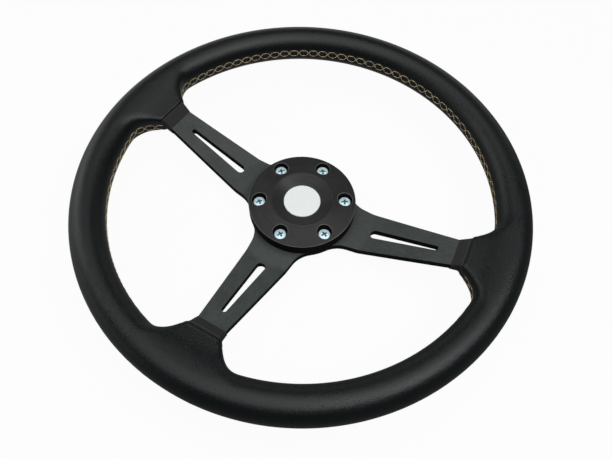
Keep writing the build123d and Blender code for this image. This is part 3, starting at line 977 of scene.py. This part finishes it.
class WHEEL_OT_ring(bpy.types.Operator):
    """Turns the hub ring with its rounded crest and cuts the wells of the screws"""

    bl_idname = "wheel.ring"
    bl_label = "Hub ring"

    def execute(self, context):
        ring, screw = settings().ring, settings().screw
        profile = ring_profile(ring)
        turns = [[polar(r, a, z) for r, z in profile] for a in circle(RING_TURNS)]
        body = tube_mesh("hub_ring", rings=[turns])
        piece = new_piece("hub_ring_turned", body, bpy.data.materials["turned_black"])
        wells = [well_loops(ring, polar(screw.circle_r, at, 0)) for at in SCREW_PLACES]
        cut_away(piece, [tube_mesh("wells", tubes=wells)])
        shade_smooth(piece.data)
        piece.data.set_sharp_from_angle(angle=SHARP_ANGLE)
        even = piece.modifiers.new("Even shading", "WEIGHTED_NORMAL")
        even.keep_sharp = True
        apply_modifiers(piece)
        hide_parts("retaining_ring")
        return {"FINISHED"}


# Hub screws


def screw_rings(screw, tip_z, top_z):
    """Rings of one screw about the origin, from the crown of its head to its tip."""
    flat_r, seat_z = screw.head_r - screw.round_r, top_z - screw.head_h
    profile = [(r, top_z - screw.crown * (r / flat_r) ** 2) for r in np.linspace(0.1 * flat_r, flat_r, 7)]
    shoulder_z = top_z - screw.crown - screw.round_r
    for a in np.radians(np.linspace(15, 90, 6)):
        profile.append((flat_r + screw.round_r * math.sin(a), shoulder_z + screw.round_r * math.cos(a)))
    profile += [(screw.head_r, seat_z + HEAD_CHAMFER), (screw.head_r - HEAD_CHAMFER, seat_z)]
    profile += [(screw.shank_r, seat_z), (screw.shank_r, 0.0)]
    rings = [[polar(r, a, z) for a in circle(SCREW_SIDES)] for r, z in profile]
    for z in np.arange(0.0, -tip_z, screw.pitch / THREAD_STEPS):
        run_out = min(1.0, z / screw.pitch, (-tip_z - z) / screw.pitch)
        ring = []
        for a in circle(SCREW_SIDES):
            phase = (z / screw.pitch + a / (2 * math.pi)) % 1.0
            r = screw.thread_r - screw.thread_depth * (1 - run_out * (1 - abs(2 * phase - 1)))
            ring.append(polar(r, a, -z))
        rings.append(ring)
    return rings


def cross_bar(screw, top_z, turn):
    """A tapered bar that cuts one slot of the cross recess."""
    loops = []
    for z, part in ((top_z - screw.cross_depth, CROSS_FOOT), (top_z + CUT_CLEAR, CROSS_MOUTH)):
        half_l, half_w = part * screw.cross_l / 2, (0.5 + 0.5 * part) * screw.cross_w / 2
        corners = [Vector((x * half_l, y * half_w, z)) for x, y in ((-1, -1), (1, -1), (1, 1), (-1, 1))]
        loops.append([Matrix.Rotation(turn, 3, "Z") @ corner for corner in corners])
    return tube_mesh("cross_bar", tubes=[loops])


class WHEEL_OT_screws(bpy.types.Operator):
    """Makes the six plated screws with crowned heads, cross recesses and threads"""

    bl_idname = "wheel.screws"
    bl_label = "Hub screws"

    def execute(self, context):
        screw = settings().screw
        mesh = tube_mesh("hub_screw", tubes=[screw_rings(screw, SCREW_LOW[2], SCREW_HIGH[2])])
        piece = new_piece("hub_screws_plated", mesh, bpy.data.materials["zinc_plate"])
        cut_away(piece, [cross_bar(screw, SCREW_HIGH[2], turn) for turn in (0.0, math.pi / 2)])
        bm = bmesh.new()
        for k, at in enumerate(SCREW_PLACES):
            one = piece.data.copy()
            out = Matrix.Rotation(at, 4, "Z") @ Matrix.Translation((screw.circle_r, 0, 0))
            one.transform(out @ Matrix.Rotation(SCREW_TWIST * k, 4, "Z"))
            bm.from_mesh(one)
            bpy.data.meshes.remove(one)
        bm.to_mesh(piece.data)
        bm.free()
        shade_smooth(piece.data)
        piece.data.set_sharp_from_angle(angle=SHARP_ANGLE)
        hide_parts("hub_screws")
        return {"FINISHED"}


# Stage


def floor_material(stage, bright):
    """A floor that looks white to the camera, brightens one way in reflections and keeps a soft shadow."""
    material, tree, shader = plain_material(
        "plain_floor", Base_Color=(*stage.floor, 1.0), Roughness=0.9, Specular_IOR_Level=0.1
    )
    link = tree.links.new
    glow = node(tree, "ShaderNodeEmission", Color=(1, 1, 1, 1))
    path = node(tree, "ShaderNodeLightPath").outputs
    bounced = math_node(tree, "MAXIMUM", path["Is Glossy Ray"], path["Is Transmission Ray"])
    seen = math_node(tree, "MAXIMUM", path["Is Camera Ray"], bounced)
    along = node(tree, "ShaderNodeVectorMath", operation="DOT_PRODUCT")
    link(coordinate(tree, "Object"), along.inputs[0])
    along.inputs[1].default_value = bright
    rise = node(
        tree, "ShaderNodeMapRange", From_Min=-stage.front_end, From_Max=stage.back_start,
        To_Min=stage.front_glow, To_Max=stage.back_glow,
    )
    link(along.outputs["Value"], rise.inputs["Value"])
    strength = math_node(tree, "MAXIMUM", path["Is Camera Ray"], times(tree, bounced, rise.outputs[0]))
    link(strength, glow.inputs["Strength"])
    mixed = node(tree, "ShaderNodeMixShader")
    link(times(tree, seen, FLOOR_WHITE), mixed.inputs[0])
    link(shader.outputs[0], mixed.inputs[1])
    link(glow.outputs[0], mixed.inputs[2])
    link(mixed.outputs[0], tree.nodes["Material Output"].inputs["Surface"])
    return material


def floor_shape(stage):
    """A round floor that curves up into a low backdrop all round."""
    cove = np.linspace(0, math.pi / 2, COVE_STEPS)
    profile = [(stage.floor_r + stage.cove_r * math.sin(a), stage.cove_r * (1 - math.cos(a))) for a in cove]
    profile.append((stage.floor_r + stage.cove_r, stage.backdrop_h))
    bm = bmesh.new()
    rings = [[bm.verts.new(polar(r, a, z)) for a in circle(FLOOR_TURNS)] for r, z in profile]
    bm.faces.new(rings[0])
    for a, b in zip(rings, rings[1:]):
        for k in range(len(a)):
            bm.faces.new((a[k - 1], b[k - 1], b[k], a[k]))
    mesh = bpy.data.meshes.new("floor")
    bm.to_mesh(mesh)
    bm.free()
    shade_smooth(mesh)
    return mesh


def soft_lamp(name, at, power_w, extents):
    """A rectangular studio lamp, aimed at the wheel."""
    data = bpy.data.lights.new(name, "AREA")
    data.shape = "RECTANGLE"
    data.size, data.size_y = extents
    data.energy = power_w
    lamp = linked(name, data)
    lamp.location = at
    lamp.rotation_euler = (Vector(LAMP_AIM) - Vector(at)).to_track_quat("-Z", "Y").to_euler()


class WHEEL_OT_stage(bpy.types.Operator):
    """Sets the floor, the camera, the lamps and the even light"""

    bl_idname = "wheel.stage"
    bl_label = "Stage"

    def execute(self, context):
        stage = settings().stage
        scene = context.scene
        forward = (Vector(stage.camera_aim) - Vector(stage.camera_at)).normalized()
        away = Vector((forward.x, forward.y, 0)).normalized()
        floor = linked("floor", floor_shape(stage))
        floor.location.z = CAD_BOX[0][2] - FLOOR_GAP
        floor.data.materials.append(floor_material(stage, Matrix.Rotation(stage.glow_turn, 3, "Z") @ away))
        right = self.set_camera(scene, stage, forward)
        side = Vector((right.x, right.y, 0)).normalized()
        for name, at, watts, extents in (
            ("overhead", stage.top_at, stage.top, stage.top_size),
            ("key", stage.key_at, stage.key, stage.key_size),
            ("back", stage.back_at, stage.back, stage.back_size),
        ):
            soft_lamp(name, side * at[0] + away * at[1] + Vector((0, 0, at[2])), watts, extents)
        world = bpy.data.worlds.new("even_light")
        world.use_nodes = True
        scene.world = world
        sky = world.node_tree.nodes["Background"]
        sky.inputs["Color"].default_value = (1, 1, 1, 1)
        sky.inputs["Strength"].default_value = stage.sky
        scene.view_settings.view_transform = "Standard"
        return {"FINISHED"}

    def set_camera(self, scene, stage, forward):
        """Sets the camera and gives the direction to its right."""
        right = forward.cross(Vector((0, 0, 1))).normalized()
        up = right.cross(forward)
        c, s = math.cos(stage.camera_roll), math.sin(stage.camera_roll)
        right, up = c * right + s * up, c * up - s * right
        data = bpy.data.cameras.new("camera")
        data.sensor_width = SENSOR_W
        data.sensor_fit = "HORIZONTAL"
        data.lens = stage.lens
        data.clip_start = 0.01
        camera = linked("camera", data)
        facing = Matrix((right, up, -forward)).transposed().to_4x4()
        camera.matrix_world = Matrix.Translation(Vector(stage.camera_at)) @ facing
        scene.camera = camera
        return right


# Add-on


class WheelSettings(bpy.types.PropertyGroup):
    """All settings of the wheel."""

    rim: PointerProperty(type=RimSizes)
    seam: PointerProperty(type=SeamSizes)
    ring: PointerProperty(type=RingSizes)
    screw: PointerProperty(type=ScrewSizes)
    finishes: PointerProperty(type=Finishes)
    stage: PointerProperty(type=StageSettings)


SETTINGS = (RimSizes, SeamSizes, RingSizes, ScrewSizes, Finishes, StageSettings, WheelSettings)
OPERATORS = (
    WHEEL_OT_stage, WHEEL_OT_finishes, WHEEL_OT_ring, WHEEL_OT_screws, WHEEL_OT_leather, WHEEL_OT_stitches
)


class WHEEL_PT_panel(bpy.types.Panel):
    """Lists the wheel's settings and its makers"""

    bl_idname = "WHEEL_PT_panel"
    bl_label = "Steering wheel"
    bl_space_type = "VIEW_3D"
    bl_region_type = "UI"
    bl_category = "Wheel"

    def draw(self, context):
        for part in ("rim", "seam", "ring", "screw", "finishes", "stage"):
            box = self.layout.box()
            box.label(text=part.capitalize())
            values = getattr(settings(), part)
            for key in values.__annotations__:
                box.prop(values, key)
        for maker in OPERATORS:
            self.layout.operator(maker.bl_idname)


CLASSES = (*SETTINGS, *OPERATORS, WHEEL_PT_panel)


def register():
    for cls in CLASSES:
        bpy.utils.register_class(cls)
    bpy.types.Scene.wheel = PointerProperty(type=WheelSettings)


def unregister():
    del bpy.types.Scene.wheel
    for cls in reversed(CLASSES):
        bpy.utils.unregister_class(cls)


def main():
    register()
    bpy.ops.wheel.stage()
    bpy.ops.wheel.finishes()
    bpy.ops.wheel.ring()
    bpy.ops.wheel.screws()
    bpy.ops.wheel.leather()
    bpy.ops.wheel.stitches()


if __name__ == "__main__":
    main()
